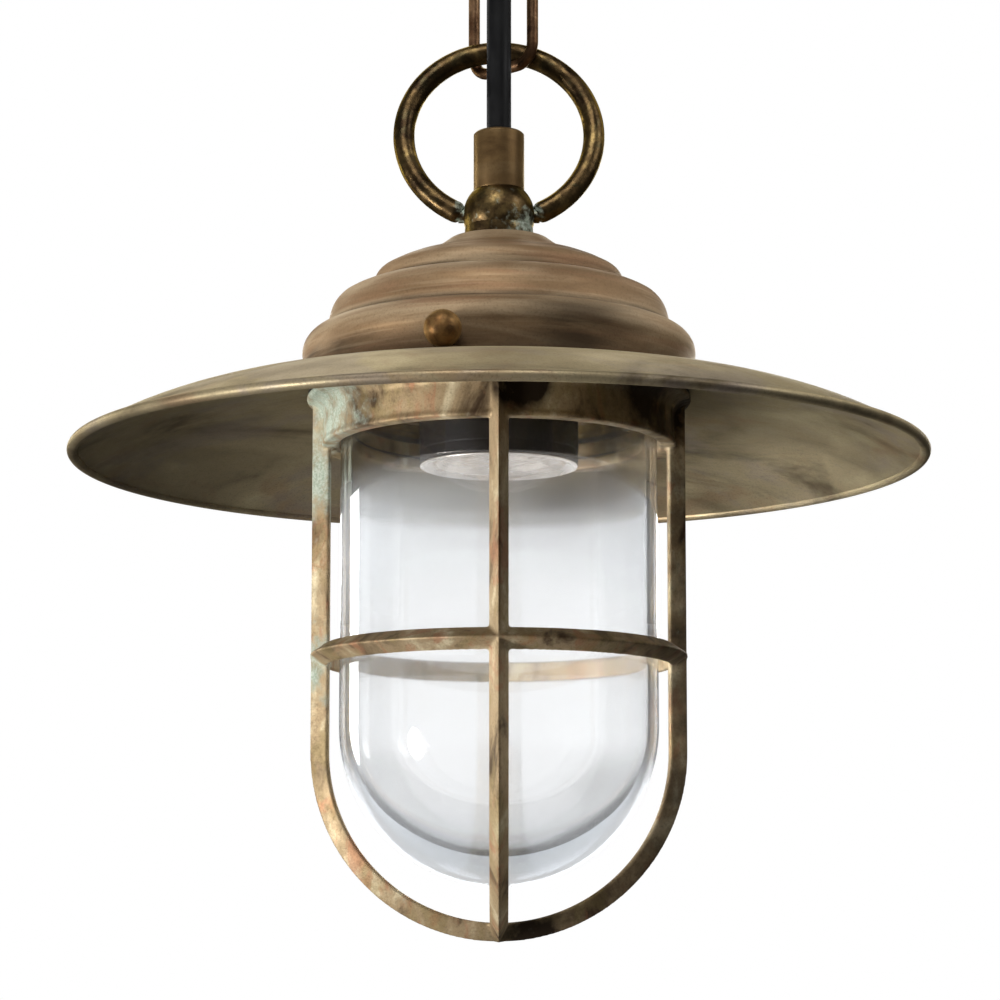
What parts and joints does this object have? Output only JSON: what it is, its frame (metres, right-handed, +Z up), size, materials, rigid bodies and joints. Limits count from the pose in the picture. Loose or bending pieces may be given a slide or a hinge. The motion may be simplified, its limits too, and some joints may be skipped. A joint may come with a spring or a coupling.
{
  "type": "ship lantern",
  "caption": "Round pendant ship lantern: stepped cap and dished shade over a clear glass jar in a ribbed cage, hung by ring, chain and cable.",
  "frame": {"origin": "centre of the bracket's ceiling face, on the line of the chain", "axes": "+Z up to the ceiling, viewer looks along +Y, +X to the right"},
  "size_m": [0.24, 0.24, 0.391],
  "materials": {
    "spun_brass": "aged, matt",
    "plated_steel": "zinc plated",
    "fastener_brass": "dull",
    "chain_brass": "dark bronzed",
    "ring_brass": "dark bronzed, worn bright on top",
    "sleeve_brass": "smooth, bronzed",
    "cap_bronze": "matt, oxidised brown",
    "shade_brass": "matt, grey-green patina",
    "cage_bronze": "cast, patinated",
    "knob_brass": "rubbed, warm",
    "cable_rubber": "satin black sheath",
    "insulator_white": "moulded",
    "core_insulation": "extruded",
    "bakelite": "black moulded",
    "polished_metal": "polished",
    "thread_metal": "rolled thread, bright",
    "ceramic": "unglazed ceramic",
    "clear_glass": "clear pressed glass",
    "gasket_rubber": "moulded"
  },
  "bodies": {
    "ceiling": {"ceiling_rose": "spun_brass", "ceiling_bracket": "plated_steel", "rose_screws": "fastener_brass", "ceiling_hook": "chain_brass", "hook_nut": "fastener_brass", "cord_grip": "plated_steel", "terminal_block": "insulator_white", "rose_cores": "core_insulation"},
    "upper_link": {"chain_link_2": "chain_brass", "cable_4": "cable_rubber"},
    "lower_link": {"chain_link_1": "chain_brass", "cable_3": "cable_rubber"},
    "ring": {"suspension_ring": "ring_brass", "cable_2": "cable_rubber"},
    "lantern": {"ball_boss": "ring_brass", "cable_sleeve": "sleeve_brass", "cable_1": "cable_rubber", "threaded_nipple": "fastener_brass", "nipple_washer": "fastener_brass", "nipple_nut": "fastener_brass", "cap": "cap_bronze", "carrier_ring": "fastener_brass", "shade": "shade_brass", "shade_screws": "fastener_brass", "holder_cap": "bakelite", "holder_body": "bakelite", "holder_funnel": "polished_metal", "thread_shell": "thread_metal", "ceramic_core": "ceramic", "centre_contact": "thread_metal", "socket_cores": "core_insulation", "earth_screw": "fastener_brass"},
    "cage": {"cage_collar": "cage_bronze", "cage_rib_front": "cage_bronze", "cage_rib_right": "cage_bronze", "cage_rib_back": "cage_bronze", "cage_rib_left": "cage_bronze", "cage_hoop": "cage_bronze", "glass_jar": "clear_glass", "jar_seat_gasket": "gasket_rubber", "jar_clamp_gasket": "gasket_rubber", "jar_clamp_ring": "fastener_brass", "shade_gasket": "gasket_rubber"},
    "thumbscrew_front_body": {"thumbscrew_front": "knob_brass"},
    "thumbscrew_back_body": {"thumbscrew_back": "knob_brass"}
  },
  "joints": [
    {"name": "hook_swing", "type": "hinge", "parent": "ceiling", "child": "upper_link", "pos_m": [0, 0, -0.05391], "axis": [0.7431, -0.6691, 0], "range_deg": [-15, 15], "deforming": ["cable_4"]},
    {"name": "link_swing", "type": "hinge", "parent": "upper_link", "child": "lower_link", "pos_m": [0, 0, -0.09621], "axis": [0.6691, 0.7431, 0], "range_deg": [-15, 15], "deforming": ["cable_3"]},
    {"name": "ring_swing", "type": "hinge", "parent": "lower_link", "child": "ring", "pos_m": [0, 0, -0.13936], "axis": [0.7431, -0.6691, 0], "range_deg": [-15, 15], "deforming": ["cable_2"]},
    {"name": "ball_pivot", "type": "hinge", "parent": "ring", "child": "lantern", "pos_m": [-0.0012, -0.0119, -0.186], "axis": [1, 0, 0], "range_deg": [-4, 20], "deforming": ["cable_1"]},
    {"name": "cage_drop", "type": "slide", "parent": "lantern", "child": "cage", "axis": [0, 0, -1], "range_m": [0, 0.12]},
    {"name": "thumbscrew_front_travel", "type": "slide", "parent": "lantern", "child": "thumbscrew_front_body", "axis": [-0.2419, -0.9703, 0], "range_m": [0, 0.005]},
    {"name": "thumbscrew_back_travel", "type": "slide", "parent": "lantern", "child": "thumbscrew_back_body", "axis": [0.2419, 0.9703, 0], "range_m": [0, 0.005]}
  ]
}
